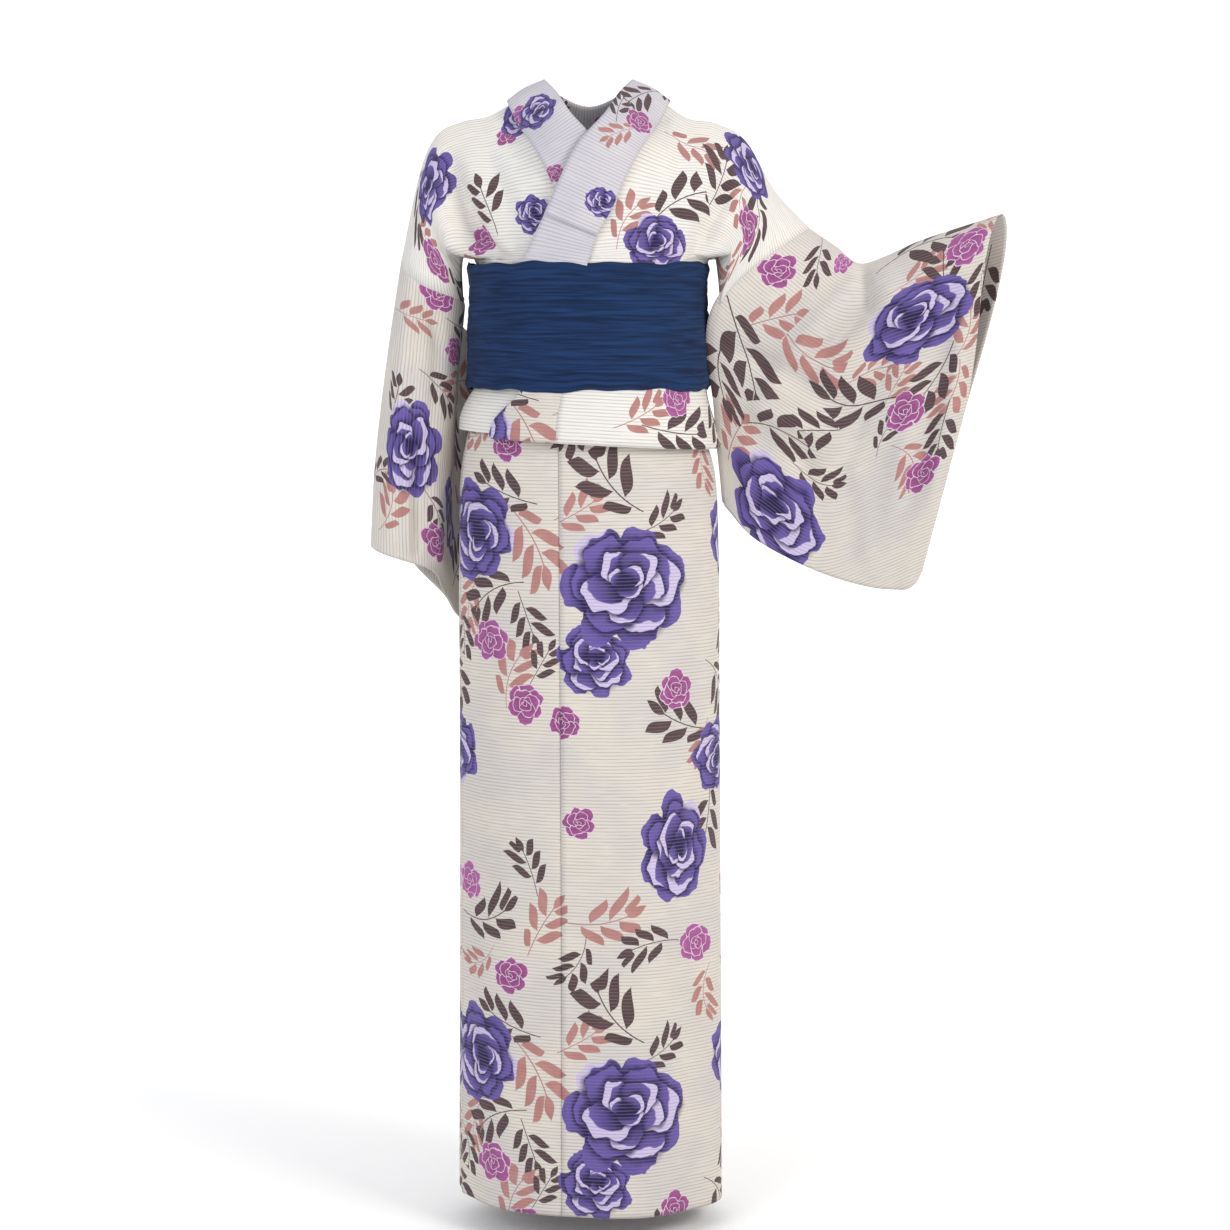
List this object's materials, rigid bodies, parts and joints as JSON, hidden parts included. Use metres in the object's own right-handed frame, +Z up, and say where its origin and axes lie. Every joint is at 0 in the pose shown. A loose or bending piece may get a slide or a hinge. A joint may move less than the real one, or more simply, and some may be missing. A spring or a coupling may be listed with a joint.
{
  "type": "cotton yukata robe",
  "caption": "Long cotton summer robe worn closed, left over right, with wide sleeves, a folded collar and a soft crinkled sash.",
  "frame": {"origin": "on the wearer's centre line at shoulder height, in the plane of the shoulders", "axes": "+Z up along the body, -Y the front, +X the wearer's left"},
  "size_m": [0.7445, 0.2456, 1.3463],
  "materials": {
    "printed_cotton": "matte ribbed cotton, off-white with a floral print",
    "obi_cotton": "matte navy crinkled cotton"
  },
  "bodies": {
    "root": {"body_left": "printed_cotton", "body_right": "printed_cotton", "okumi_left": "printed_cotton", "okumi_right": "printed_cotton", "collar": "printed_cotton", "over_collar": "printed_cotton", "sleeve_left": "printed_cotton", "sleeve_right": "printed_cotton", "obi": "obi_cotton"}
  },
  "joints": []
}
